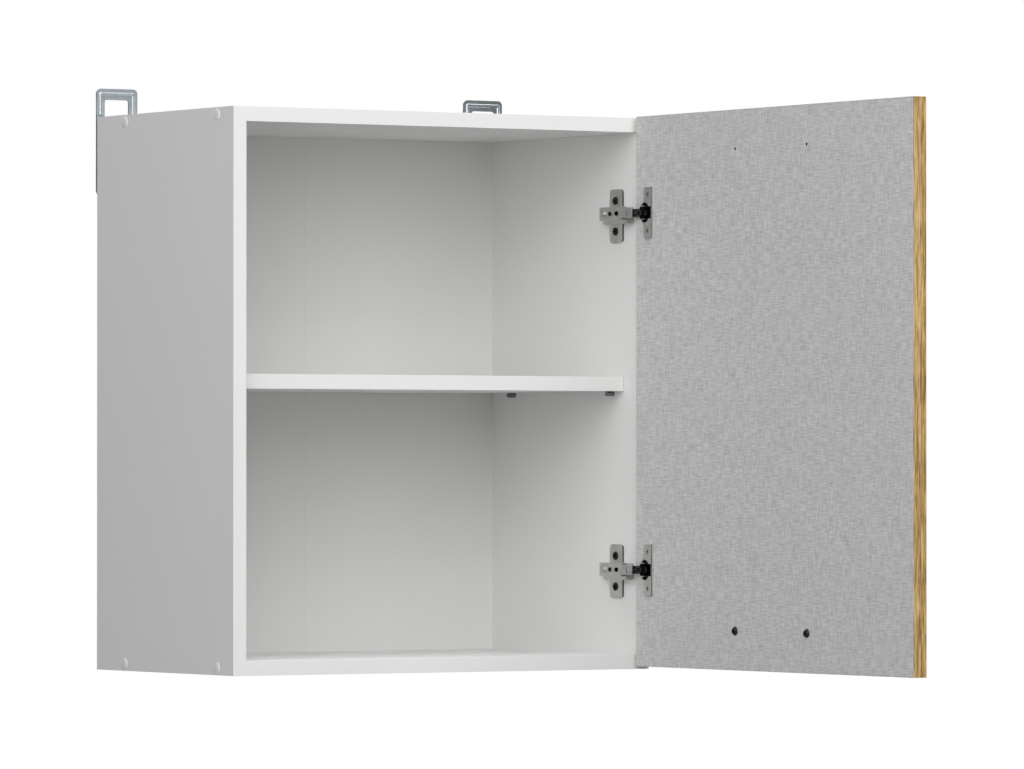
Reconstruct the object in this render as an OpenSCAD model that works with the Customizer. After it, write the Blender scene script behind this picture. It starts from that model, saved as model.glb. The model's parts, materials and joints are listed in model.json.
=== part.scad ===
// Hanging wall cabinet with one shelf and a right-hinged door, drawn with the door 90 degrees open.
// +X is to the right, +Y is towards the wall, +Z is up. The origin is the middle of the back face.

/* [Carcass] */
// Outer width
carcass_w = 498; // [398:10:598]
// Outer height
carcass_h = 572; // [520:4:720]
// Depth of the boards, without the back panel
side_depth = 282; // [270:1:320]
// Thickness of the carcass boards and the shelf
board_t = 15; // [15:1:18]
// Thickness of the nailed back panel
back_t = 3; // [2.5:0.5:4]
// Distance of the back panel's edges from the carcass's outer faces
back_inset = 2; // [1:0.5:4]
// Thickness of the bands on the boards' front edges
band_t = 0.5; // [0.4:0.1:1]

/* [Shelf] */
// Height of the shelf's underside above the middle of the cabinet
shelf_z = 2.5; // [-40:0.5:40]
// How far the shelf's front edge stands back from the carcass's front
shelf_setback = 24; // [10:1:60]
// Gap between the shelf and each side
shelf_gap = 0.5; // [0.3:0.1:1]

/* [Door] */
// Door width
door_w = 495; // [395:1:595]
// Door height
door_h = 570; // [500:1:716]
// Door thickness
door_t = 16; // [16:1:19]
// Height of the door's lower edge above the carcass's lower edge
door_lift = 3; // [1:0.5:4]
// Thickness of the door's edge bands
door_band_t = 0.8; // [0.5:0.1:1]
// Thickness of the decor sheet on the door's front
front_sheet_t = 0.5; // [0.4:0.1:1]

/* [Hinges] */
// Distance of each hinge plate from the middle of the cabinet
hinge_z = 185; // [150:1:210]
// Distance of the hinge plate's screws behind the carcass's front
plate_setback = 37; // [36:0.5:38]
// How far the door covers the side's front edge
overlay = 14; // [13:0.5:15]
// Gap between the closed door and the carcass
gap_closed = 2; // [1.5:0.5:2.5]
// Gap in depth between the carcass and the open door's hinge edge
gap_open = 4; // [4:0.5:5]
// How far the open door's inner face stands inside the side's inner face
shift_open = 3.13; // [3:0.01:3.3]
// Radius of the hinge cup
cup_r = 13; // [13:0.5:13.5]
// Distance of the cup's centre from the door's hinge edge
cup_s = 19.5; // [19.5:0.5:20.5]

/* [Handle] */
// Distance between the handle's screws
handle_pitch = 128; // [96:32:160]
// Distance of the handle's screws from the door's lower edge
handle_z = 40; // [35:1:60]
// How far the bow stands off the door
handle_rise = 28; // [26:1:32]

/* [Hangers] */
// Width of a hanger plate
hanger_w = 48.5; // [44:0.5:52]
// Height of a hanger plate
hanger_h = 111; // [105:1:120]
// Height of a hanger above the carcass
hanger_rise = 30; // [28:1:34]
// Thickness of a hanger plate
hanger_t = 1.5; // [1.5:0.5:2]

/* [Hidden] */
$fn = 64;

white = "#efefef";
zinc = "#a9b4ba";
nickel = "#9b9b98";
dark = "#3a3a3a";
linen = "#b4b4b6";
oak = "#b98a4e";

play = 0.05;                                // clearance of a fastener in its hole, within one body
past = 1;                                   // how far a cutter runs past a face
inner_x = carcass_w / 2 - board_t;          // inner face of the right side
front_y = -side_depth - back_t;             // front plane of the carcass
half_h = carcass_h / 2;
board_mid = half_h - board_t / 2;           // middle of the top and bottom boards

// Fastener places, as distances behind the carcass's front
screw_rows = [33, 223];
dowel_rows = [80, 176];
pin_rows = [45, 237];
pin_r = 2.5;
pin_deep = 9;
pin_reach = 8.5;
dowel_r = 4;
dowel_in_side = 11;
dowel_in_board = 19;
nail_r = 0.7;
nail_len = 20;
nail_pitch = 92;

// Hinge, in the plan of the corner where the right side's inner face meets the front plane
link_turns = [-36, -51];                    // turn of the long and short link while the door turns 90
cup_pin_long = [9.9, 2.2];                  // cup pins, from the hinge edge and below the inner face
cup_pin_short = [11, 4.8];
cup_depth = 12.4;
cup_wall = 0.8;
cup_lip = 0.8;
channel_half = 6.3;                         // half width of the cup's channel
tongue_half = 1.1;                          // half widths of the parts stacked along the pins
short_link_half = [1.3, 2.5];
long_link_half = [2.75, 4.1];
cheek_half = [4.6, 5.4];
arm_pin_r = 1;
cup_pin_r = 0.8;
run_play = 0.06;                            // running clearance of a link on its pin
link_bar = 2.6;
flange_s = [18, 32.3];                      // the cup's flange, from the hinge edge
flange_half = 26.4;
flange_t = 2.4;
cup_screw_half = 19;
cup_screw_s = 25;
plate_y = [24, 48];                         // the plate's wings behind the front plane
plate_half = 28;
plate_t = 2;
plate_screw_half = 16;
ridge_half = 8.8;
ridge_top = 9;
ridge_y = [5, 50];
arm_line = [[14.5, 48.5], [14.5, 20], [17.6, 3], [13.2, -11.2]];  // top of the arm: height and depth
arm_low = arm_line[0][0];
arm_t = 1;
arm_half = 7;
clamp_y = 41;
adjust_y = 28.5;
arm_raise = door_lift - (carcass_h - door_h) / 2;   // the arms sit this much above the plates

door_x = inner_x - shift_open;              // inner face of the open door
door_y = front_y - gap_open;                // hinge edge of the open door
door_z = door_lift - half_h;                // lower edge of the door
door_mid = door_z + door_h / 2;
handle_s = door_w / 2;                      // middle of the handle from the hinge edge

window_w = 28.2;
window_side = 9.8;
window_top = half_h + hanger_rise - 11.6;
window_h = 21;
hanger_edge = 0.8;                          // how far a hanger stands in from the side's outer face
hanger_x = carcass_w / 2 - hanger_edge;
hanger_screw_spots = [[8, -41], [8, -66], [36, -8]];  // inwards from the outer face, and upwards

// A cup pin's place with the door closed and with it open, in the corner's plan
function closed_at(p) = [overlay - p[0], -gap_closed - p[1]];
function open_at(p) = [p[1] - shift_open, -gap_open - p[0]];

// The fixed pivot about which a link carries its cup pin from one place to the other
function pivot(p, turn) =
    let(a = closed_at(p), b = open_at(p), d = b - a)
    (a + b) / 2 + [-d[1], d[0]] / (2 * tan(turn / 2));

long_pivot = pivot(cup_pin_long, link_turns[0]);
short_pivot = pivot(cup_pin_short, link_turns[1]);
long_end = open_at(cup_pin_long);
short_end = open_at(cup_pin_short);
long_bend = [-5.6, -14.4];                  // both links bow round the cup's lip
short_bend = [-5, -15];
web_span = [2, 9.5];                        // the web of the long link: along it, and to its left
web_left = [2.1, 3];

// ---- helpers ----

// Children placed at the carcass's front corner beside a hinge
module at_corner(z) {
    translate([inner_x, front_y, z])
        children();
}

// Children placed on the open door: X into the door, Y towards the hinge edge, Z up
module on_door() {
    translate([door_x, door_y, door_z])
        children();
}

// Children placed at both hinges on the carcass, level with the arms
module at_arms() {
    for (side = [1, -1])
        at_corner(side * hinge_z + arm_raise)
            children();
}

// Children placed at both cups on the open door
module at_cups() {
    for (side = [1, -1])
        translate([door_x, door_y, door_mid + side * hinge_z])
            children();
}

// A bar of a flat link between two points
module bar(a, b, width) {
    d = b - a;
    translate(a)
        rotate(atan2(d[1], d[0]))
            translate([0, -width / 2])
                square([norm(d), width]);
}

// A slab between two heights
module slab(low, high) {
    translate([0, 0, low])
        linear_extrude(high - low)
            children();
}

// The same slab above and below the middle plane
module slab_pair(span) {
    slab(span[0], span[1])
        children();
    slab(-span[1], -span[0])
        children();
}

// A plate with rounded corners, from [x0, y0] to [x1, y1]
module round_plate(low, high, r) {
    translate(low + [r, 0])
        square([high[0] - low[0] - 2 * r, high[1] - low[1]]);
    translate(low + [0, r])
        square([high[0] - low[0], high[1] - low[1] - 2 * r]);
    for (x = [low[0] + r, high[0] - r], y = [low[1] + r, high[1] - r])
        translate([x, y])
            circle(r);
}

// A cylinder along +X
module rod_x(r, from, to) {
    translate([from, 0, 0])
        rotate([0, 90, 0])
            cylinder(r = r, h = to - from);
}

// A cylinder along +Y
module rod_y(r, from, to) {
    translate([0, from, 0])
        rotate([-90, 0, 0])
            cylinder(r = r, h = to - from);
}

// A cross recess in a screw head that faces -X
module cross_recess(size, depth, width = 1) {
    for (turn = [0, 90])
        rotate([turn, 0, 0])
            translate([-past, -size / 2, -width / 2])
                cube([depth + past, size, width]);
}

// ---- carcass boards ----

// A one-piece assembly screw that runs along +X from the side's outer face
module assembly_screw(extra = 0) {
    head_h = 3;
    shank_end = 14;
    length = 50;
    rotate([0, 90, 0])
        cylinder(r1 = 5 + extra, r2 = 3.5 + extra, h = head_h);
    rod_x(3.5 + extra, head_h, shank_end);
    rod_x(3.15 + extra, shank_end, length + extra);
}

// Children at each assembly screw of the right (+1) or left (-1) side
module at_screws(side) {
    mirror([side > 0 ? 1 : 0, 0, 0])
        for (row = screw_rows, z = [-board_mid, board_mid])
            translate([-carcass_w / 2, front_y + row, z])
                children();
}

// Dowels in the joint between a side and the cross boards
module dowel_set(side, extra = 0) {
    mirror([side > 0 ? 1 : 0, 0, 0])
        for (row = dowel_rows, z = [-board_mid, board_mid])
            translate([-inner_x, front_y + row, z])
                rod_x(dowel_r + extra, -dowel_in_side - extra, dowel_in_board + extra);
}

// Shelf pins of one side; each has a neck beside the board
module pin_set(side, extra = 0) {
    neck = 1;
    mirror([side > 0 ? 1 : 0, 0, 0])
        for (row = pin_rows)
            translate([-inner_x, front_y + row, shelf_z - pin_r]) {
                rod_x(pin_r + extra, -pin_deep - extra, 0);
                rod_x(pin_r - 0.6, 0, neck);
                rod_x(pin_r, neck, pin_reach);
            }
}

// Nails that hold the back panel, spread round its edge
module nail_set(extra = 0) {
    columns = floor((carcass_w - 80) / nail_pitch);
    rows = floor((carcass_h - 200) / nail_pitch);
    for (i = [-columns / 2 : columns / 2], side = [-1, 1])
        translate([i * nail_pitch, 0, side * board_mid])
            nail(extra);
    for (i = [-rows / 2 : rows / 2], side = [-1, 1])
        translate([side * (carcass_w - board_t) / 2, 0, i * nail_pitch])
            nail(extra);
}

// One nail that runs in from the back face, its head sunk flush
module nail(extra = 0) {
    head_h = 0.8;
    rod_y(nail_r + extra, -nail_len - extra, 0);
    rod_y(1.5 + extra, -head_h - extra, extra > 0 ? past : 0);
}

// Places of a hanger's screws: two in the side's rear edge, one in the top's
module at_hanger_screws(side) {
    for (p = hanger_screw_spots)
        translate([side * (carcass_w / 2 - p[0]), 0, half_h + p[1]])
            children();
}

// The screw's shank, or its hole when given some extra radius and reach
module hanger_screw(extra = 0, reach = 0) {
    rod_y(2 + extra, -30 - extra, hanger_t + reach);
}

// Holes for the hinge plate's screws in the right side
module plate_screw_holes(r, depth) {
    for (hinge = [-1, 1], z = [-plate_screw_half, plate_screw_half])
        at_corner(hinge * hinge_z + z)
            translate([0, plate_setback, 0])
                rod_x(r, -past, depth);
}

module side_board(side) {
    color(white)
        difference() {
            translate([side > 0 ? inner_x : -carcass_w / 2, front_y + band_t, -half_h])
                cube([board_t, side_depth - band_t, carcass_h]);
            at_screws(side)
                assembly_screw(play);
            dowel_set(side, play);
            pin_set(side, play);
            nail_set(play);
            at_hanger_screws(side)
                hanger_screw(play, past);
            if (side > 0)
                plate_screw_holes(3.15 + play, 12);
        }
}

module side_left() {
    side_board(-1);
}

module side_right() {
    side_board(1);
}

module cross_board(side) {
    color(white)
        difference() {
            translate([-inner_x, front_y + band_t, side * board_mid - board_t / 2])
                cube([2 * inner_x, side_depth - band_t, board_t]);
            for (end = [-1, 1]) {
                at_screws(end)
                    assembly_screw(play);
                dowel_set(end, play);
                at_hanger_screws(end)
                    hanger_screw(play, past);
            }
            nail_set(play);
        }
}

module top_panel() {
    cross_board(1);
}

module bottom_panel() {
    cross_board(-1);
}

module back_panel() {
    color(white)
        difference() {
            translate([back_inset - carcass_w / 2, -back_t, back_inset - half_h])
                cube([carcass_w - 2 * back_inset, back_t, carcass_h - 2 * back_inset]);
            nail_set(play);
            for (side = [-1, 1])
                at_hanger_screws(side)
                    hanger_screw(play, past);
        }
}

module shelf() {
    color(white)
        translate([shelf_gap - inner_x, front_y + shelf_setback + band_t, shelf_z])
            cube([2 * (inner_x - shelf_gap), side_depth - shelf_setback - band_t - shelf_gap, board_t]);
}

module side_edge_bands() {
    color(white)
        for (x = [-carcass_w / 2, inner_x])
            translate([x, front_y, -half_h])
                cube([board_t, band_t, carcass_h]);
}

module cross_edge_bands() {
    color(white)
        for (z = [-half_h, half_h - board_t])
            translate([-inner_x, front_y, z])
                cube([2 * inner_x, band_t, board_t]);
}

module shelf_edge_band() {
    color(white)
        translate([shelf_gap - inner_x, front_y + shelf_setback, shelf_z])
            cube([2 * (inner_x - shelf_gap), band_t, board_t]);
}

// ---- carcass fasteners ----

module assembly_screws() {
    socket_r = 2.3;
    socket_h = 3;
    color(nickel)
        for (side = [-1, 1])
            at_screws(side)
                difference() {
                    assembly_screw();
                    translate([-past, 0, 0])
                        rotate([0, 90, 0])
                            cylinder(r = socket_r, h = socket_h + past, $fn = 6);
                }
}

// Low caps over the assembly screws; each has a stem in the screw's socket
module screw_caps() {
    cap_r = 5.8;
    step_h = 0.6;
    color(white)
        for (side = [-1, 1])
            at_screws(side)
                rotate([0, 90, 0]) {
                    translate([0, 0, -step_h])
                        cylinder(r1 = cap_r - 0.8, r2 = cap_r, h = step_h);
                    translate([0, 0, -2 * step_h])
                        cylinder(r1 = cap_r - 2.8, r2 = cap_r - 0.8, h = step_h);
                    translate([0, 0, -0.1])
                        cylinder(r = 1.7, h = 2.5);
                }
}

module dowels() {
    color("burlywood")
        for (side = [-1, 1])
            dowel_set(side);
}

module back_nails() {
    color(nickel)
        nail_set();
}

module shelf_pins() {
    color(nickel)
        for (side = [-1, 1])
            pin_set(side);
}

// ---- hangers ----

// A round bar with ball ends along +Z
module bead(length, r) {
    cylinder(r = r, h = length);
    sphere(r);
    translate([0, 0, length])
        sphere(r);
}

module hanger_plate() {
    bead_r = 2.4;
    bead_sink = 1.2;                        // depth of the bead's axis behind the plate's front
    bead_side = window_side / 2;
    low = half_h + hanger_rise - hanger_h;
    high = half_h + hanger_rise;
    leg_foot = half_h + 1 + bead_r;
    bar_z = (high + window_top) / 2;
    difference() {
        translate([0, hanger_t, 0])
            rotate([90, 0, 0])
                linear_extrude(hanger_t)
                    difference() {
                        round_plate([0, low], [hanger_w, high], 5);
                        round_plate([window_side, window_top - window_h],
                            [window_side + window_w, window_top], 2.5);
                    }
        at_plate_screws()
            rod_y(2.2, -past, hanger_t + past);
    }
    difference() {
        translate([0, bead_sink, 0]) {
            for (x = [bead_side, hanger_w - bead_side])
                translate([x, 0, leg_foot])
                    bead(bar_z - leg_foot, bead_r);
            translate([bead_side, 0, bar_z])
                rotate([0, 90, 0])
                    bead(hanger_w - 2 * bead_side, bead_r);
        }
        translate([-past, 0.5, low])
            cube([hanger_w + 2 * past, bead_r * 3, hanger_h + past]);
    }
}

// The screw places measured from the plate's outer edge
module at_plate_screws() {
    for (p = hanger_screw_spots)
        translate([p[0] - hanger_edge, 0, half_h + p[1]])
            children();
}

module hanger_left() {
    color(zinc)
        translate([-hanger_x, 0, 0])
            hanger_plate();
}

module hanger_right() {
    color(zinc)
        mirror([1, 0, 0])
            translate([-hanger_x, 0, 0])
                hanger_plate();
}

module hanger_screws() {
    head_h = 2.2;
    color(zinc)
        for (side = [-1, 1])
            at_hanger_screws(side)
                difference() {
                    union() {
                        hanger_screw();
                        translate([0, hanger_t, 0])
                            rotate([-90, 0, 0])
                                cylinder(r1 = 4, r2 = 2.8, h = head_h);
                    }
                    translate([0, hanger_t + head_h, 0])
                        rotate([0, 0, -90])
                            cross_recess(4, 1.5);
                }
}

// ---- hinge parts on the carcass ----

// Depth coordinates run along Y, heights above the side's inner face along -X
module hinge_plate() {
    pocket_y = [10, 21];
    pocket_half = 5.5;
    color(nickel)
        difference() {
            union() {
                rotate([0, -90, 0])
                    linear_extrude(plate_t)
                        round_plate([-plate_half, plate_y[0]], [plate_half, plate_y[1]], 4);
                rotate([0, -90, 0])
                    linear_extrude(ridge_top)
                        round_plate([-ridge_half, ridge_y[0]], [ridge_half, ridge_y[1]], 2);
            }
            for (z = [-plate_screw_half, plate_screw_half])
                translate([0, plate_setback, z]) {
                    rod_x(3.25, -plate_t - past, past);
                    translate([-plate_t, 0, 0])
                        rotate([0, 90, 0])
                            cylinder(r1 = 4.3, r2 = 3.25, h = 1.2);
                }
            // pocket in the ridge behind the arm's nose
            translate([-ridge_top - past, pocket_y[0], arm_raise - pocket_half])
                cube([ridge_top + past - plate_t, pocket_y[1] - pocket_y[0], 2 * pocket_half]);
            // seats of the clamp and adjusting screws
            for (y = [clamp_y, adjust_y])
                translate([0, y, arm_raise])
                    rod_x(1.7, -ridge_top - past, -plate_t);
        }
}

module upper_hinge_plate() {
    at_corner(hinge_z)
        hinge_plate();
}

module lower_hinge_plate() {
    at_corner(-hinge_z)
        hinge_plate();
}

module hinge_plate_screws() {
    thread_r = 3.15;
    head_r = 4.2;
    head_h = 1.1;
    color(dark)
        for (hinge = [-1, 1], z = [-plate_screw_half, plate_screw_half])
            at_corner(hinge * hinge_z + z)
                translate([0, plate_setback, 0])
                    difference() {
                        union() {
                            rod_x(thread_r, -plate_t, 11);
                            translate([-plate_t, 0, 0])
                                rotate([0, 90, 0])
                                    cylinder(r1 = head_r, r2 = thread_r, h = head_h);
                            rod_x(head_r, -plate_t - 0.9, -plate_t);
                        }
                        translate([-plate_t - 0.9, 0, 0])
                            cross_recess(5.6, 2.6, 1.5);
                    }
}

// The arm's top line, moved down by some depth, as points in the plan
function arm_points(down) = [for (p = arm_line) [down - p[0], p[1]]];

// The arm's top sheet in the plan, between two depths
module arm_sheet(low, high) {
    line = concat(arm_points(0), [for (i = [3 : -1 : 0]) arm_points(arm_t)[i]]);
    intersection() {
        polygon(line);
        translate([-30, low])
            square([30, high - low]);
    }
}

// A stamped channel with a narrow nose and two cheeks
module hinge_arm() {
    nose_y = 2.5;
    arm_rear = arm_line[0][1];
    arm_front = arm_line[3][1];
    eye_r = 1.9;
    foot_y = [22, 47];
    color(nickel)
        difference() {
            union() {
                slab(-arm_half, arm_half)
                    arm_sheet(nose_y, arm_rear);
                slab(-cheek_half[1], cheek_half[1])
                    arm_sheet(arm_front, nose_y + 1);
                // skirts along both sides
                slab_pair([arm_half - arm_t, arm_half])
                    polygon(concat([for (i = [0 : 2]) arm_points(0)[i]],
                        [[-arm_low + 3, nose_y], [-ridge_top, 9], [-ridge_top, arm_rear]]));
                // foot on the plate's ridge
                translate([-arm_low + arm_t / 2, foot_y[0], -arm_half + arm_t / 2])
                    cube([arm_low - arm_t / 2 - ridge_top, foot_y[1] - foot_y[0], 2 * arm_half - arm_t]);
                // cheeks beside the long link
                slab_pair(cheek_half)
                    union() {
                        translate(long_pivot)
                            circle(eye_r);
                        polygon([long_pivot + [-1.7, -2.6], long_pivot + [1, -1.4],
                            long_pivot + [1.6, 1], [-12.6, 12], [-15.6, 12], [-17.1, 3]]);
                    }
            }
            translate(long_pivot)
                cylinder(r = arm_pin_r + play, h = 3 * arm_half, center = true);
            // bores of the clamp screw and the adjusting screw
            for (y = [clamp_y, adjust_y])
                translate([0, y, 0])
                    rod_x(1.7, -arm_low - past, past);
            // oblong access hole behind the nose
            translate([-19, 0, 0])
                rotate([0, 90, 0])
                    linear_extrude(5.5)
                        round_plate([-2.2, 9.5], [2.2, 20.5], 2.1);
            // narrow slot across the nose
            translate([-15, -4.4, 0])
                cube([4, 0.9, 6.4], center = true);
        }
}

module upper_hinge_arm() {
    at_corner(hinge_z + arm_raise)
        hinge_arm();
}

module lower_hinge_arm() {
    at_corner(-hinge_z + arm_raise)
        hinge_arm();
}

// Tongues under the noses, which carry both link pivots
module hinge_knuckles() {
    eye_r = 1.9;
    color(dark)
        at_arms()
            difference() {
                slab(-tongue_half, tongue_half)
                    difference() {
                        union() {
                            for (p = [long_pivot, short_pivot])
                                translate(p)
                                    circle(eye_r);
                            bar(long_pivot, short_pivot, 3);
                            polygon([long_pivot + [1.5, 0], long_pivot + [1.2, 9], [-15, 8.5], [-16.6, 3],
                                [-14, -5], short_pivot + [-1, -1]]);
                        }
                        arm_sheet(-30, 30);
                    }
                for (p = [long_pivot, short_pivot])
                    translate(p)
                        cylinder(r = arm_pin_r + play, h = 3 * arm_half, center = true);
            }
}

// A screw on the arm's top with a cross recess, its shank down to the plate
module arm_screw(head_r, head_h, shank_r) {
    difference() {
        union() {
            rod_x(head_r, -arm_low - head_h, -arm_low);
            rod_x(shank_r, -arm_low, -plate_t - 0.5);
        }
        translate([-arm_low - head_h, 0, 0])
            cross_recess(head_r * 1.3, head_h * 0.7);
    }
}

module hinge_clamp_screws() {
    color(nickel)
        at_arms()
            translate([0, clamp_y, 0])
                arm_screw(3.6, 1.6, 1.6);
}

module hinge_adjust_screws() {
    color(dark)
        at_arms()
            translate([0, adjust_y, 0])
                arm_screw(2.3, 0.8, 1.6);
}

module hinge_arm_pins() {
    color(dark)
        at_arms() {
            translate(long_pivot)
                cylinder(r = arm_pin_r, h = 2 * cheek_half[1] + 0.6, center = true);
            translate(short_pivot)
                cylinder(r = arm_pin_r, h = 2 * short_link_half[1] + 0.1, center = true);
        }
}

// ---- links ----

// A bowed channel; its web is on the side away from the tongue
module long_link() {
    eye_r = 1.7;
    end_r = 1.55;
    color(dark)
        difference() {
            union() {
                slab_pair(long_link_half)
                    union() {
                        translate(long_pivot)
                            circle(eye_r);
                        bar(long_pivot, long_bend, link_bar);
                        translate(long_bend)
                            circle(link_bar / 2);
                        bar(long_bend, long_end, link_bar);
                        translate(long_end)
                            circle(end_r);
                        web_plan([0, web_left[1]]);
                    }
                slab(-long_link_half[0] - 0.1, long_link_half[0] + 0.1)
                    web_plan(web_left);
            }
            translate(long_pivot)
                cylinder(r = arm_pin_r + run_play, h = 4 * long_link_half[1], center = true);
            translate(long_end)
                cylinder(r = cup_pin_r + run_play, h = 4 * long_link_half[1], center = true);
        }
}

// The web's place in the plan, between two distances to the left of the link
module web_plan(left) {
    d = long_end - long_pivot;
    translate(long_pivot)
        rotate(atan2(d[1], d[0]))
            translate([web_span[0], left[0]])
                square([web_span[1] - web_span[0], left[1] - left[0]]);
}

module upper_long_link() {
    at_corner(hinge_z + arm_raise)
        long_link();
}

module lower_long_link() {
    at_corner(-hinge_z + arm_raise)
        long_link();
}

// Forked at both ends; the hole at the cup is wide, because its pin only roughly follows it
module short_link() {
    eye_r = 1.8;
    slack = 0.87;
    slack_at = [-0.09, -0.37];              // centre of the wide hole, along and across the link
    along = (short_end - short_pivot) / norm(short_end - short_pivot);
    across = [-along[1], along[0]];
    hole = short_end + along * slack_at[0] + across * slack_at[1];
    fork_r = 2.7;                           // room for the tongue and the lug between the plates
    color(dark)
        difference() {
            slab(-short_link_half[1], short_link_half[1])
                union() {
                    translate(short_pivot)
                        circle(eye_r);
                    bar(short_pivot, short_bend, 2.2);
                    translate(short_bend)
                        circle(1.1);
                    bar(short_bend, hole, 2.2);
                    translate(hole)
                        circle(cup_pin_r + slack + 0.6);
                }
            for (p = [short_pivot, hole])
                translate(p)
                    cylinder(r = fork_r, h = 2 * short_link_half[0], center = true);
            translate(short_pivot)
                cylinder(r = arm_pin_r + run_play, h = 4 * short_link_half[1], center = true);
            translate(hole)
                cylinder(r = cup_pin_r + slack, h = 4 * short_link_half[1], center = true);
        }
}

module upper_short_link() {
    at_corner(hinge_z + arm_raise)
        short_link();
}

module lower_short_link() {
    at_corner(-hinge_z + arm_raise)
        short_link();
}

// ---- door ----

// Places on the door for two holes in a row, one handle pitch apart
module at_handle_row(z) {
    for (side = [-1, 1])
        on_door()
            translate([0, -handle_s + side * handle_pitch / 2, z])
                children();
}

module cup_screw(extra = 0) {
    head_h = 1.6;
    rotate([0, 90, 0])
        translate([0, 0, -flange_t])
            cylinder(r1 = 3.4 + extra, r2 = 1.75 + extra, h = head_h);
    rod_x(1.75 + extra, head_h - flange_t, 10 + extra);
}

module at_cup_screws() {
    at_cups()
        for (z = [-cup_screw_half, cup_screw_half])
            translate([0, -cup_screw_s, z])
                children();
}

module door_panel() {
    color(linen)
        difference() {
            on_door()
                translate([0, door_band_t - door_w, door_band_t])
                    cube([door_t - front_sheet_t, door_w - 2 * door_band_t, door_h - 2 * door_band_t]);
            at_cups()
                translate([0, -cup_s, 0])
                    rod_x(cup_r + play, -past, cup_depth + play);
            at_cup_screws()
                rod_x(1.75 + play, -past, 10 + play);
            at_handle_row(handle_z)
                rod_x(2.1, -past, door_t + past);
            at_handle_row(door_h - handle_z)
                rod_x(1.5, -past, 5);
        }
}

module door_front_sheet() {
    color(oak)
        difference() {
            on_door()
                translate([door_t - front_sheet_t, door_band_t - door_w, door_band_t])
                    cube([front_sheet_t, door_w - 2 * door_band_t, door_h - 2 * door_band_t]);
            at_handle_row(handle_z)
                rod_x(2.1, 0, door_t + past);
        }
}

module door_edge_bands() {
    color(oak)
        on_door() {
            for (y = [-door_w, -door_band_t])
                translate([0, y, 0])
                    cube([door_t, door_band_t, door_h]);
            for (z = [0, door_h - door_band_t])
                translate([0, door_band_t - door_w, z])
                    cube([door_t, door_w - 2 * door_band_t, door_band_t]);
        }
}

// Round cup with a straight channel for the links between two pockets, and a lug for the
// short link's pin
module hinge_cup() {
    inner_r = cup_r - cup_wall;
    lug_r = 1.6;
    lug_pin = [cup_pin_short[1], -cup_pin_short[0]];
    pocket_r = 10.6;
    pocket_s = 18.4;
    pocket_depth = 5;
    recess = 0.8;                           // step from the flange down to the cup
    web_half = channel_half + 1.2;
    mouth_s = 31.3;                         // the arm's nose dips in up to here
    bevel = 0.7;
    color(nickel)
        difference() {
            union() {
                difference() {
                    union() {
                        translate([0, -cup_s, 0])
                            rod_x(cup_r, 0, cup_depth);
                        translate([0, -cup_s, 0])
                            rotate([0, 90, 0])
                                translate([0, 0, -cup_lip])
                                    cylinder(r1 = cup_r - 0.5, r2 = cup_r, h = cup_lip);
                        slab(-flange_half, flange_half)
                            polygon([[0, -flange_s[0]], [-flange_t, -flange_s[0]],
                                [-flange_t, bevel - flange_s[1]], [bevel - flange_t, -flange_s[1]],
                                [0, -flange_s[1]]]);
                    }
                    // channel
                    intersection() {
                        translate([0, -cup_s, 0])
                            rod_x(inner_r, -flange_t - past, cup_depth - cup_wall);
                        translate([-flange_t - past, -mouth_s, -channel_half])
                            cube([cup_depth + flange_t + past, 2 * cup_r, 2 * channel_half]);
                    }
                    // square mouth through the flange
                    translate([-flange_t - past, -mouth_s, -channel_half])
                        cube([flange_t + past, mouth_s - cup_s, 2 * channel_half]);
                    // shallow round recess in the flange
                    translate([0, -pocket_s, 0])
                        rod_x(pocket_r, -flange_t - past, recess - flange_t);
                    // pockets beside the channel
                    difference() {
                        translate([0, -pocket_s, 0])
                            rod_x(pocket_r, -flange_t - past, pocket_depth);
                        translate([-flange_t - 2 * past, -cup_s - cup_r, -web_half])
                            cube([cup_depth, 2 * cup_r, 2 * web_half]);
                    }
                }
                slab(-tongue_half, tongue_half)
                    union() {
                        translate(lug_pin)
                            circle(lug_r);
                        polygon([lug_pin + [-lug_r, 0], lug_pin + [-lug_r, 4.2], lug_pin + [6.3, 4.2],
                            lug_pin + [6.3, 0]]);
                    }
            }
            for (z = [-cup_screw_half, cup_screw_half])
                translate([0, -cup_screw_s, z]) {
                    cup_screw(play);
                    rod_x(3.45, -flange_t - past, -flange_t);
                }
            for (p = [cup_pin_long, cup_pin_short])
                translate([p[1], -p[0], 0])
                    cylinder(r = cup_pin_r + play, h = 2 * (channel_half + 1), center = true);
        }
}

module upper_hinge_cup() {
    translate([door_x, door_y, door_mid + hinge_z])
        hinge_cup();
}

module lower_hinge_cup() {
    translate([door_x, door_y, door_mid - hinge_z])
        hinge_cup();
}

module hinge_cup_screws() {
    color(nickel)
        at_cup_screws()
            difference() {
                cup_screw();
                translate([-flange_t, 0, 0])
                    cross_recess(4.6, 1.6, 1.2);
            }
}

// Two stubs in the cup's walls hold the long link; a pin in the lug holds the short one
module hinge_cup_pins() {
    color(dark)
        at_cups() {
            translate([cup_pin_long[1], -cup_pin_long[0], 0])
                slab_pair([long_link_half[0] - 0.1, channel_half + 0.9])
                    circle(cup_pin_r);
            translate([cup_pin_short[1], -cup_pin_short[0], 0])
                cylinder(r = cup_pin_r, h = 2 * short_link_half[1] + 0.1, center = true);
        }
}

// ---- handle ----

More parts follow.
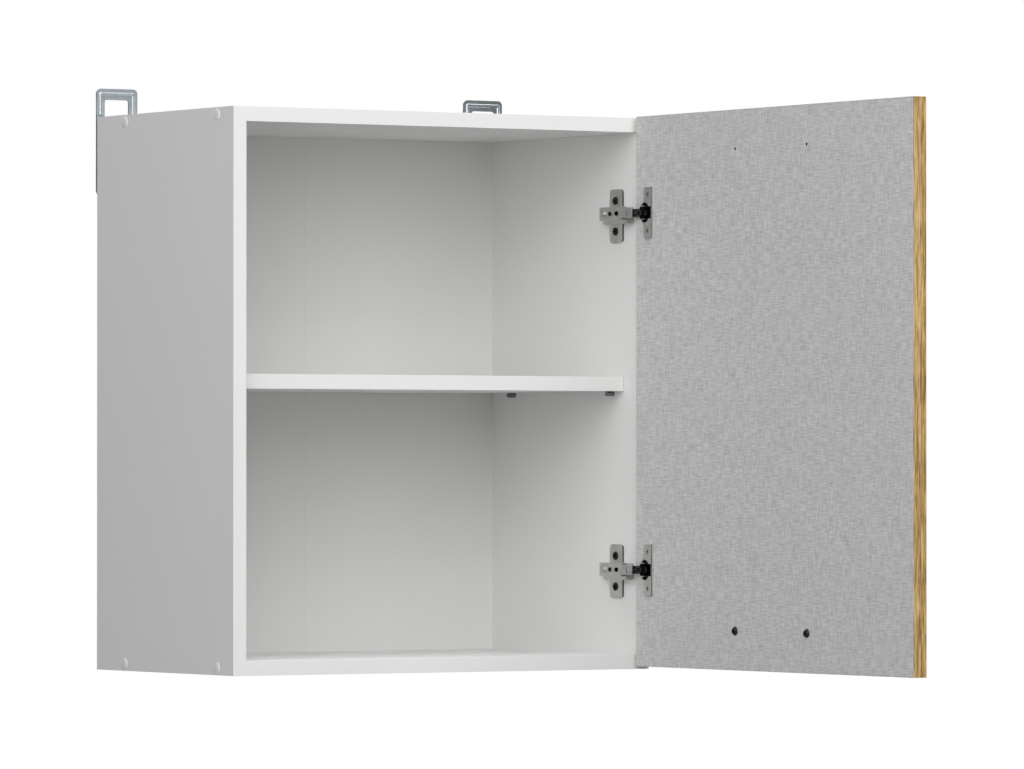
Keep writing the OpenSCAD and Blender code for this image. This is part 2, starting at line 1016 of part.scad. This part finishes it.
module handle() {
    half_chord = handle_pitch / 2 + 8;
    bow_t = 5;
    bow_w = 12;
    bow_r = (half_chord * half_chord + handle_rise * handle_rise) / (2 * handle_rise);
    foot_r = 5.5;
    foot_h = 9;
    screw_deep = 7;
    color("silver")
        on_door()
            translate([door_t, -handle_s, handle_z])
                difference() {
                    union() {
                        intersection() {
                            translate([handle_rise - bow_r, 0, 0])
                                difference() {
                                    cylinder(r = bow_r, h = bow_w, center = true, $fn = 128);
                                    cylinder(r = bow_r - bow_t, h = bow_w + past, center = true, $fn = 128);
                                }
                            translate([0, -half_chord - past, -bow_w])
                                cube([handle_rise + past, 2 * (half_chord + past), 2 * bow_w]);
                        }
                        for (side = [-1, 1])
                            translate([0, side * handle_pitch / 2, 0])
                                rod_x(foot_r, 0, foot_h);
                    }
                    for (side = [-1, 1])
                        translate([0, side * handle_pitch / 2, 0])
                            rod_x(2.05, -past, screw_deep);
                }
}

module handle_screws() {
    head_r = 4.6;
    head_h = 2.4;
    screw_reach = 6;
    color(dark)
        at_handle_row(handle_z)
            difference() {
                union() {
                    rod_x(2, 0, door_t + screw_reach);
                    rotate([0, 90, 0])
                        translate([0, 0, -head_h])
                            cylinder(r1 = 3.2, r2 = head_r, h = head_h);
                }
                translate([-head_h, 0, 0])
                    cross_recess(4.6, 1.6, 1.2);
            }
}

side_left();
side_right();
top_panel();
bottom_panel();
back_panel();
shelf();
side_edge_bands();
cross_edge_bands();
shelf_edge_band();
assembly_screws();
screw_caps();
dowels();
back_nails();
shelf_pins();
hanger_left();
hanger_right();
hanger_screws();
upper_hinge_plate();
lower_hinge_plate();
hinge_plate_screws();
upper_hinge_arm();
lower_hinge_arm();
hinge_knuckles();
hinge_clamp_screws();
hinge_adjust_screws();
hinge_arm_pins();
upper_long_link();
lower_long_link();
upper_short_link();
lower_short_link();
door_panel();
door_front_sheet();
door_edge_bands();
upper_hinge_cup();
lower_hinge_cup();
hinge_cup_screws();
hinge_cup_pins();
handle();
handle_screws();
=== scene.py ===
"""Looks of the hanging wall cabinet: materials, rounded edges, hinge detail, light and camera."""

import json
import math

import bmesh
import bpy
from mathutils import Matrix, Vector

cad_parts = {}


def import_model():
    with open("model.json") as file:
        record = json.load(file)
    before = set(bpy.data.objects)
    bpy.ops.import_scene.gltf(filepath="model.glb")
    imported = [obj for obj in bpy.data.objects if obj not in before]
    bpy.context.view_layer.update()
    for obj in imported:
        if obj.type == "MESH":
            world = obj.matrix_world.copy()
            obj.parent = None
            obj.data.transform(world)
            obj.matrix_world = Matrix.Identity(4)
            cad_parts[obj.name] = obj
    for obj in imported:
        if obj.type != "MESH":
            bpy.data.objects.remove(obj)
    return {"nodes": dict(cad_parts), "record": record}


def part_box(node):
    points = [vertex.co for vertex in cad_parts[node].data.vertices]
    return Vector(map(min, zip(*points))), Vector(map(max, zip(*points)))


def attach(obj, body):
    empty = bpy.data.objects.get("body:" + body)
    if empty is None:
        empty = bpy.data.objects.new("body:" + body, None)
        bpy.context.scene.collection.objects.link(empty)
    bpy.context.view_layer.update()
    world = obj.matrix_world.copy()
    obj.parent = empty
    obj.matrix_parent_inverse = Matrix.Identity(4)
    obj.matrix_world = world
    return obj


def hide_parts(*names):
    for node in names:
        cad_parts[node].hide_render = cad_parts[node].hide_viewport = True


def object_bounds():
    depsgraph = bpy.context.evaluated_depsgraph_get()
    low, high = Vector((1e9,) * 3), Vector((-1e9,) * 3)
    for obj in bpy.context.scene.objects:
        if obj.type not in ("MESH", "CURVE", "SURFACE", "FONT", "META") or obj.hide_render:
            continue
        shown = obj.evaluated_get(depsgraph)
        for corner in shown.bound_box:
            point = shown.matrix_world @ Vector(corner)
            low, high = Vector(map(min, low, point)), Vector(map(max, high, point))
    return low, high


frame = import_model()
cad_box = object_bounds()
record = frame["record"]
SLOT_OF = {part["node"]: part["material_slot"] for part in record["subparts"]}
BODY_OF = {node: body for body, nodes in record["behaviour"]["bodies"].items() for node in nodes}
MM = 0.001


# ---- materials ----


class Finish:
    """A Principled material, with short calls for the nodes that feed it."""

    def __init__(self, name, color, roughness, metallic=0.0, **sockets):
        self.material = bpy.data.materials.new(name)
        self.material.use_nodes = True
        self.nodes = self.material.node_tree.nodes
        self.links = self.material.node_tree.links
        self.shader = self.nodes["Principled BSDF"]
        self.shader.inputs["Base Color"].default_value = (*color, 1)
        self.shader.inputs["Roughness"].default_value = roughness
        self.shader.inputs["Metallic"].default_value = metallic
        for socket, value in sockets.items():
            self.shader.inputs[socket.replace("_", " ")].default_value = value
        self.place = self.nodes.new("ShaderNodeTexCoord").outputs["Object"]

    def node(self, kind, inputs=None, **settings):
        """A new node; inputs maps a socket's name or number to a value or to another node's output."""
        made = self.nodes.new("ShaderNode" + kind)
        for key, value in settings.items():
            setattr(made, key, value)
        for socket, value in (inputs or {}).items():
            if isinstance(value, bpy.types.NodeSocket):
                self.links.new(value, made.inputs[socket])
            else:
                made.inputs[socket].default_value = value
        return made

    def stretched(self, scale):
        """Object coordinates, in metres, scaled per axis."""
        return self.node("Mapping", {"Vector": self.place, "Scale": scale}).outputs["Vector"]

    def noise(self, scale, detail=3.0, roughness=0.55, stretch=(1, 1, 1)):
        """Noise from 0 to 1 with about scale times stretch cells to the metre."""
        sockets = {
            "Vector": self.stretched(stretch),
            "Scale": scale,
            "Detail": detail,
            "Roughness": roughness,
        }
        return self.node("TexNoise", sockets).outputs["Fac"]

    def math(self, operation, a, b=0.0):
        return self.node("Math", {0: a, 1: b}, operation=operation).outputs[0]

    def span(self, value, low, high, to_low, to_high):
        """value from low..high mapped to to_low..to_high, held at the ends."""
        names = ("From Min", "From Max", "To Min", "To Max")
        sockets = dict(zip(names, (low, high, to_low, to_high)))
        return self.node("MapRange", {"Value": value, **sockets}).outputs["Result"]

    def ramp(self, value, *stops):
        """Colours at given values; each stop is (value, colour)."""
        made = self.node("ValToRGB", {"Fac": value})
        points = made.color_ramp.elements
        while len(points) < len(stops):
            points.new(0.5)
        for point, (at, color) in zip(points, stops):
            point.position = at
            point.color = (*color, 1)
        return made.outputs["Color"]

    def mix(self, factor, a, b, blend="MIX"):
        made = self.node("Mix", {"Factor": factor}, data_type="RGBA", blend_type=blend)
        for socket, value in ((6, a), (7, b)):
            if isinstance(value, bpy.types.NodeSocket):
                self.links.new(value, made.inputs[socket])
            else:
                made.inputs[socket].default_value = (*value, 1)
        return made.outputs[2]

    def color(self, output):
        self.links.new(output, self.shader.inputs["Base Color"])

    def roughness(self, output):
        self.links.new(output, self.shader.inputs["Roughness"])

    def bump(self, height, depth):
        """Relief of the given depth in metres where height goes from 0 to 1."""
        made = self.node("Bump", {"Height": height, "Distance": depth, "Strength": 1.0})
        self.links.new(made.outputs["Normal"], self.shader.inputs["Normal"])


def tint(color, factor):
    return tuple(c * factor for c in color)


def white_laminate(name, color, grain=0.00003, roughness=0.42, fold=False):
    """White melamine: a fine pearl relief, slightly uneven gloss and tone.

    A folded sheet has a crease at X = 0, with painted shade along it.
    """
    finish = Finish(name, color, roughness, Specular_IOR_Level=0.25)
    pearl = finish.noise(950, 2.0, 0.6)
    cloud = finish.noise(9, 3.0, 0.6)
    tone = finish.ramp(cloud, (0.3, tint(color, 0.985)), (0.7, color))
    if fold:
        x = finish.node("SeparateXYZ", {"Vector": finish.place}).outputs["X"]
        crease = finish.span(finish.math("ABSOLUTE", x), 0.0002, 0.0009, 0.0, 1.0)
        # Painted shade: the sheet is 5 % darker along the crease
        shade = finish.ramp(crease, (0.0, (0.95, 0.95, 0.95)), (1.0, (1, 1, 1)))
        tone = finish.mix(1.0, tone, shade, "MULTIPLY")
        pearl = finish.math("ADD", finish.math("MULTIPLY", pearl, 0.2), crease)
    finish.color(tone)
    finish.roughness(finish.span(finish.noise(420, 2.0), 0.3, 0.7, roughness - 0.05, roughness + 0.07))
    finish.bump(pearl, grain)
    return finish


def textile_grey(name):
    """Grey laminate printed and pressed as a coarse cross weave, a little mottled."""
    color = (0.585, 0.583, 0.583)
    finish = Finish(name, color, 0.62)
    level = finish.noise(1, 1.0, 0.4, (200, 80, 960))
    upright = finish.noise(1, 1.0, 0.4, (200, 960, 80))
    threads = finish.math("MULTIPLY", finish.math("ADD", level, upright), 0.5)
    weave = finish.ramp(threads, (0.36, tint(color, 0.79)), (0.5, color), (0.64, tint(color, 1.2)))
    cloud = finish.ramp(finish.noise(26, 4.0, 0.6), (0.3, tint(color, 0.93)), (0.7, tint(color, 1.06)))
    finish.color(finish.mix(0.06, weave, cloud))
    finish.bump(threads, 0.00018)
    return finish


def oak(name, lengthways=2):
    """Golden-brown oak: long light and dark streaks and dark pores along one axis, in broad uneven bands."""

    def stretch(across, along):
        return tuple(along if axis == lengthways else across for axis in range(3))

    finish = Finish(name, (0.56, 0.36, 0.145), 0.5)
    streak = finish.noise(1, 3.0, 0.7, stretch(720, 34))
    band = finish.noise(1, 3.0, 0.5, stretch(210, 9))
    figure = finish.math("ADD", finish.math("MULTIPLY", streak, 0.72), finish.math("MULTIPLY", band, 0.28))
    wood = finish.ramp(
        figure,
        (0.39, (0.225, 0.125, 0.04)),
        (0.5, (0.475, 0.307, 0.115)),
        (0.6, (0.72, 0.53, 0.25)),
    )
    broad = finish.noise(1, 2.0, 0.5, stretch(22, 1.6))
    uneven = finish.ramp(broad, (0.3, (0.93, 0.9, 0.87)), (0.68, (1.18, 1.18, 1.18)))
    wood = finish.mix(1.0, wood, uneven, "MULTIPLY")
    clear = finish.span(finish.noise(1, 3.0, 0.5, stretch(1500, 60)), 0.32, 0.4, 0.0, 1.0)
    pores = finish.ramp(clear, (0.0, (0.3, 0.25, 0.2)), (1.0, (1, 1, 1)))
    finish.color(finish.mix(0.45, wood, pores, "MULTIPLY"))
    finish.bump(finish.math("MINIMUM", clear, streak), 0.00012)
    return finish


def plated(name, color, roughness):
    """Plated metal: uneven gloss, faint staining and a very fine relief."""
    spread = 0.08
    finish = Finish(name, color, roughness, 1.0)
    fine = finish.noise(500, 3.0, 0.6)
    stain = finish.noise(45, 3.0, 0.6)
    finish.color(finish.ramp(stain, (0.3, tint(color, 0.86)), (0.7, color)))
    finish.roughness(finish.span(fine, 0.3, 0.7, roughness - spread, roughness + spread))
    finish.bump(fine, 0.000006)
    return finish


def brushed(name, color):
    """Brushed steel, its fine lines along the handle's length (Y)."""
    finish = Finish(name, color, 0.3, 1.0)
    lines = finish.noise(1, 4.0, 0.6, (2600, 30, 2600))
    finish.color(finish.ramp(lines, (0.3, tint(color, 0.85)), (0.7, color)))
    finish.roughness(finish.span(lines, 0.3, 0.7, 0.24, 0.4))
    finish.bump(lines, 0.00001)
    return finish


def beech(name):
    """Plain beech, its grain along X, as the dowels lie."""
    finish = Finish(name, (0.62, 0.42, 0.24), 0.6)
    grain = finish.noise(1, 3.0, 0.5, (30, 700, 700))
    finish.color(finish.ramp(grain, (0.35, (0.5, 0.32, 0.17)), (0.65, (0.68, 0.48, 0.29))))
    finish.bump(grain, 0.00008)
    return finish


WHITE = (0.80, 0.80, 0.795)
FINISHES = {
    "white_board": white_laminate("white_board", WHITE),
    "white_hardboard": white_laminate("white_hardboard", (0.78, 0.78, 0.77), 0.00004, 0.5, fold=True),
    "white_band": white_laminate("white_band", WHITE, 0.00001, 0.4),
    "cap_plastic": white_laminate("cap_plastic", (0.82, 0.82, 0.815), 0.00001, 0.33),
    "beech": beech("beech"),
    "zinc_steel": plated("zinc_steel", (0.46, 0.51, 0.535), 0.33),
    "nickel_steel": plated("nickel_steel", (0.68, 0.68, 0.665), 0.38),
    "satin_edge": plated("satin_edge", (0.62, 0.62, 0.61), 0.75),
    # Painted shade and painted dark reflection in near-black steel: the plates' raw cut front edges,
    # darkened past their own tone, the cups' front bevels and the cup screws' recesses
    "cut_steel_and_painted_shade": plated("cut_steel_and_painted_shade", (0.11, 0.11, 0.11), 0.4),
    "pin_steel": plated("pin_steel", (0.25, 0.25, 0.25), 0.4),
    "dark_steel": plated("dark_steel", (0.045, 0.045, 0.045), 0.5),
    "deep_shade": plated("deep_shade", (0.012, 0.012, 0.012), 0.7),
    "grey_linen_board": textile_grey("grey_linen_board"),
    "oak_decor": oak("oak_decor"),
    "oak_crosswise": oak("oak_crosswise", 1),
    "brushed_handle": brushed("brushed_handle", (0.56, 0.56, 0.55)),
}


# ---- pieces ----


def place(piece, node):
    """piece stands for a CAD node: it rides on that node's body and takes its finish."""
    slot = SLOT_OF[node]
    piece.data.materials.clear()
    piece.data.materials.append(FINISHES[slot].material)
    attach(piece, BODY_OF[node])


def rounded(node, width):
    """A copy of a CAD node with its edges rolled over, shown in its place."""
    mesh = bpy.data.meshes.new("rolled_" + node)
    shape = bmesh.new()
    shape.from_mesh(frame["nodes"][node].data)
    bmesh.ops.remove_doubles(shape, verts=shape.verts, dist=1e-6)
    bmesh.ops.dissolve_limit(shape, angle_limit=math.radians(1), verts=shape.verts, edges=shape.edges)
    for face in shape.faces:
        face.smooth = True
    shape.to_mesh(mesh)
    shape.free()
    piece = bpy.data.objects.new("rolled_" + node, mesh)
    bpy.context.collection.objects.link(piece)
    roll = piece.modifiers.new("roll", "BEVEL")
    roll.width = width
    roll.segments = 2
    roll.limit_method = "ANGLE"
    roll.angle_limit = math.radians(35)
    shade = piece.modifiers.new("shade", "WEIGHTED_NORMAL")
    shade.weight = 100
    shade.thresh = 0.3
    place(piece, node)
    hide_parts(node)
    return piece


def paint(piece, slot, chosen):
    """Another finish on the faces that chosen(centre, normal) picks."""
    mesh = piece.data
    mesh.materials.append(FINISHES[slot].material)
    for face in mesh.polygons:
        if chosen(face.center, face.normal):
            face.material_index = len(mesh.materials) - 1


def cut_across(piece, at_y):
    """Divides the piece's faces along the plane Y = at_y, so that the two parts can be painted apart."""
    shape = bmesh.new()
    shape.from_mesh(piece.data)
    everything = shape.verts[:] + shape.edges[:] + shape.faces[:]
    bmesh.ops.bisect_plane(shape, geom=everything, plane_co=(0, at_y, 0), plane_no=(0, 1, 0))
    shape.to_mesh(piece.data)
    shape.free()


def solids(node):
    """The lowest and highest corner of each separate solid in a CAD node."""
    shape = bmesh.new()
    shape.from_mesh(frame["nodes"][node].data)
    bmesh.ops.remove_doubles(shape, verts=shape.verts, dist=1e-6)
    boxes = []
    left = dict.fromkeys(shape.verts)  # not a set, whose order changes from run to run
    while left:
        reach = [left.popitem()[0]]
        found = []
        while reach:
            vert = reach.pop()
            found.append(vert.co.copy())
            for edge in vert.link_edges:
                other = edge.other_vert(vert)
                if other in left:
                    del left[other]
                    reach.append(other)
        boxes.append([Vector([pick(c[i] for c in found) for i in range(3)]) for pick in (min, max)])
    shape.free()
    return boxes


def domed_caps(node, face_x, rings=8, around=48):
    """Smooth low domes in place of the caps of a CAD node, on the sides' outer faces at X = face_x."""
    shape = bmesh.new()
    for low, high in solids(node):
        side = 1 if low.x > 0 else -1
        middle = (low + high) / 2
        radius = (high.z - low.z) / 2
        height = max(abs(low.x), abs(high.x)) - face_x
        profile = [(radius, 0.0)]
        for k in range(rings + 1):
            turn = math.radians(90 * k / rings)
            profile.append((radius * math.cos(turn), height * (0.1 + 0.9 * math.sin(turn))))
        ring_verts = []
        for r, h in profile[:-1]:
            ring = []
            for k in range(around):
                angle = 2 * math.pi * k / around * side
                y = middle.y + r * math.cos(angle)
                z = middle.z + r * math.sin(angle)
                ring.append(shape.verts.new((side * (face_x + h), y, z)))
            ring_verts.append(ring)
        tip = shape.verts.new((side * (face_x + height), middle.y, middle.z))
        for lower, upper in zip(ring_verts, ring_verts[1:]):
            for k in range(around):
                shape.faces.new((lower[k - 1], lower[k], upper[k], upper[k - 1]))
        for k in range(around):
            shape.faces.new((ring_verts[-1][k - 1], ring_verts[-1][k], tip))
        shape.faces.new(list(reversed(ring_verts[0])))
    for face in shape.faces:
        face.smooth = len(face.verts) < around
    mesh = bpy.data.meshes.new("domed_" + node)
    shape.to_mesh(mesh)
    shape.free()
    piece = bpy.data.objects.new("domed_" + node, mesh)
    bpy.context.collection.objects.link(piece)
    place(piece, node)
    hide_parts(node)
    return piece


ROLL = {  # how wide the edges of each finish are rolled over, in metres
    "white_board": 0.0003,
    "white_hardboard": 0.0002,
    "white_band": 0.0002,
    "grey_linen_board": 0.0002,
    "oak_decor": 0.0002,
    "zinc_steel": 0.0003,
    "nickel_steel": 0.0002,
    "dark_steel": 0.0001,
    "brushed_handle": 0.0008,
}


pieces = {}
for node, slot in SLOT_OF.items():
    if slot == "cap_plastic":
        pieces[node] = domed_caps(node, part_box("side_right")[1].x)
    elif slot in ROLL:
        pieces[node] = rounded(node, ROLL[slot])
    else:
        piece = frame["nodes"][node]
        piece.data.materials.clear()
        piece.data.materials.append(FINISHES[slot].material)


# ---- faces painted apart: cut edges, and painted shade and painted dark reflections in recesses, pockets, bevels and on edges ----


INNER_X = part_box("top_panel")[1].x          # the right side's inner face
FRONT_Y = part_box("side_edge_bands")[0].y    # the carcass's front
DOOR_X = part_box("door_panel")[0].x          # the open door's inner face
HINGE_EDGE_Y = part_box("door_edge_bands")[1].y

# Of the hinge plate: its pocket, measured in from the side's inner face and from the
# carcass's front, and half the heights of the pocket and of the ridge between the wings
POCKET_DEPTH = (1.9 * MM, 8.9 * MM)
POCKET_REACH = (9.9 * MM, 21.1 * MM)
POCKET_HALF = 5.6 * MM
RIDGE_HALF = 10 * MM

# Of the arm: the upright face that stands this far behind the carcass's front
ARM_FOOT = 22 * MM

# Of the cup: the boss stays bright from this plane to the hinge edge, up to its height above
# the flange's face, and the mouth is painted dark as shade below the flange's skin and this far up and down
CUP_BOSS_Y = HINGE_EDGE_Y - 15.4 * MM
BOSS_TOP = 2 * MM
FLANGE_SKIN = 0.6 * MM
MOUTH_HALF = 13 * MM


def within(value, limits):
    return limits[0] <= value <= limits[1]


def paint_hinge(level):
    """The plate, arm and cup of one hinge, with their painted shade and painted dark reflections."""
    low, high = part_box(level + "_hinge_arm")
    arm_z = (low.z + high.z) / 2
    flange_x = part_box(level + "_hinge_cup")[0].x

    def in_pocket(centre, normal):
        return (
            within(INNER_X - centre.x, POCKET_DEPTH)
            and within(centre.y - FRONT_Y, POCKET_REACH)
            and abs(centre.z - arm_z) < POCKET_HALF
        )

    def on_ridge(centre):
        return abs(centre.z - arm_z) < RIDGE_HALF

    def cup_side(centre, normal):
        return normal.y < -0.9 and centre.x < DOOR_X

    def in_mouth(centre, normal):
        on_boss = centre.x < flange_x + BOSS_TOP and centre.y > CUP_BOSS_Y
        sunk = centre.x > flange_x + FLANGE_SKIN and abs(centre.z - arm_z) < MOUTH_HALF
        return sunk and not cup_side(centre, normal) and not on_boss

    plate = pieces[level + "_hinge_plate"]
    # The wings' front faces are raw cut edges, painted near-black as a painted dark reflection; the ridge's
    # front gets the rougher satin finish
    paint(plate, "cut_steel_and_painted_shade", lambda centre, normal: normal.y < -0.7 and not on_ridge(centre))
    paint(plate, "satin_edge", lambda centre, normal: normal.y < -0.7 and on_ridge(centre))
    paint(plate, "deep_shade", in_pocket)

    arm = pieces[level + "_hinge_arm"]
    foot_y = FRONT_Y + ARM_FOOT
    paint(arm, "deep_shade", lambda centre, normal: normal.y < -0.9 and abs(centre.y - foot_y) < MM)

    cup = pieces[level + "_hinge_cup"]
    cut_across(cup, CUP_BOSS_Y)
    paint(cup, "satin_edge", cup_side)
    # Painted dark reflection on the flange's front bevel
    paint(cup, "cut_steel_and_painted_shade", lambda centre, normal: normal.y < -0.4 and -0.95 < normal.x < -0.3)
    # Painted shade: the cup's sunk mouth takes the near-black dark steel finish
    paint(cup, "dark_steel", in_mouth)


def in_door_hole(centre, normal):
    """The walls and floors of the holes in the door's inner face."""
    slanted = max(abs(n) for n in normal) < 0.999
    return centre.x > DOOR_X + MM and (slanted or normal.x < -0.9)


paint(pieces["door_edge_bands"], "grey_linen_board", lambda centre, normal: normal.x < -0.5)
paint(pieces["door_edge_bands"], "oak_crosswise", lambda centre, normal: abs(normal.z) > 0.9)
paint(pieces["door_panel"], "deep_shade", in_door_hole)
paint(pieces["shelf_pins"], "pin_steel", lambda centre, normal: True)
# Painted shade: the cup screws' recesses and sides, all faces but those that face out of the door, in
# near-black steel
paint(pieces["hinge_cup_screws"], "cut_steel_and_painted_shade", lambda centre, normal: normal.x > -0.95)
paint_hinge("upper")
paint_hinge("lower")


# ---- stage, light and camera ----


def by_view(tree, seen, cast):
    """A strength that is seen where the camera looks at it, and cast where it only gives light."""
    path = tree.nodes.new("ShaderNodeLightPath")
    strength = tree.nodes.new("ShaderNodeMapRange")
    strength.inputs["To Min"].default_value = cast
    strength.inputs["To Max"].default_value = seen
    tree.links.new(path.outputs["Is Camera Ray"], strength.inputs["Value"])
    return strength.outputs["Result"]


def floor(drop, cast):
    """A wide plain white floor below the cabinet, clear from underneath, that also gives light."""
    mesh = bpy.data.meshes.new("floor")
    half = 60.0  # metres, so that its edge is out of sight
    height = cad_box[0].z - drop
    corners = [(-half, -half, height), (half, -half, height), (half, half, height), (-half, half, height)]
    mesh.from_pydata(corners, [], [(0, 1, 2, 3)])
    piece = bpy.data.objects.new("floor", mesh)
    bpy.context.collection.objects.link(piece)
    pale = bpy.data.materials.new("pale_floor")
    pale.use_nodes = True
    tree = pale.node_tree
    glow = tree.nodes.new("ShaderNodeEmission")
    clear = tree.nodes.new("ShaderNodeBsdfTransparent")
    side = tree.nodes.new("ShaderNodeNewGeometry")
    mixed = tree.nodes.new("ShaderNodeMixShader")
    tree.links.new(by_view(tree, 1.0, cast), glow.inputs["Strength"])
    tree.links.new(side.outputs["Backfacing"], mixed.inputs[0])
    tree.links.new(glow.outputs[0], mixed.inputs[1])
    tree.links.new(clear.outputs[0], mixed.inputs[2])
    tree.links.new(mixed.outputs[0], tree.nodes["Material Output"].inputs["Surface"])
    mesh.materials.append(pale)


def world(seen, ambient):
    """White all round, with separate strengths where it is seen and as light."""
    sky = bpy.data.worlds.new("white")
    sky.use_nodes = True
    backdrop = sky.node_tree.nodes["Background"]
    backdrop.inputs["Color"].default_value = (1, 1, 1, 1)
    sky.node_tree.links.new(by_view(sky.node_tree, seen, ambient), backdrop.inputs["Strength"])
    bpy.context.scene.world = sky


def area_light(name, place_at, target, size, power):
    data = bpy.data.lights.new(name, "AREA")
    data.shape = "RECTANGLE"
    data.size, data.size_y = size
    data.energy = power
    lamp = bpy.data.objects.new(name, data)
    lamp.location = place_at
    lamp.rotation_euler = (Vector(target) - Vector(place_at)).to_track_quat("-Z", "Y").to_euler()
    bpy.context.collection.objects.link(lamp)


def camera():
    data = bpy.data.cameras.new("camera")
    data.lens = LENS_MM
    data.sensor_width = 36
    data.clip_end = 200
    eye = bpy.data.objects.new("camera", data)
    eye.location = EYE_AT
    eye.rotation_euler = Vector(EYE_LOOKS).to_track_quat("-Z", "Y").to_euler()
    bpy.context.collection.objects.link(eye)
    bpy.context.scene.camera = eye


LENS_MM = 253.48
EYE_AT = (-3.86898, -6.5469, -0.07644)
EYE_LOOKS = (0.53349, 0.84572, 0.011442)    # a direction
FLOOR_DROP = 0.9                            # metres below the cabinet's lowest point
FLOOR_CAST = 0.284                          # how much light the floor gives
SKY_SEEN = 1.0
SKY_CAST = 0.0                              # none: the lamps and the floor light the cabinet
LAMPS_AIM = (0, -0.1, 0)
LAMPS = {  # place, size, watts
    "overhead": ((0, -1.2, 4.0), (3.0, 2.0), 66),
    "front_top": ((0, -3.0, 3.0), (3.0, 1.6), 54),
    "front_left": ((-2.6, -3.4, 1.2), (1.6, 2.4), 57),
    "near_front_left": ((-1.2, -4.2, 1.6), (1.6, 2.4), 25),
    "near_front_right": ((1.2, -4.2, 1.6), (1.6, 2.4), 26),
    "high_left": ((-3.8, -1.8, 2.2), (2.4, 2.4), 44),
    "low_left": ((-3.6, -1.8, -0.7), (2.4, 1.6), 10),
    "over_right": ((2.1, 0.0, 3.4), (0.9, 0.9), 20),
    "right": ((4.0, 0.6, 0.8), (2.4, 2.4), 90),
    "behind": ((0.6, 4.0, 1.2), (2.4, 2.4), 90),
}

floor(FLOOR_DROP, FLOOR_CAST)
world(SKY_SEEN, SKY_CAST)
for name, (spot, size, power) in LAMPS.items():
    area_light(name, spot, LAMPS_AIM, size, power)
camera()
bpy.context.scene.view_settings.view_transform = "Standard"
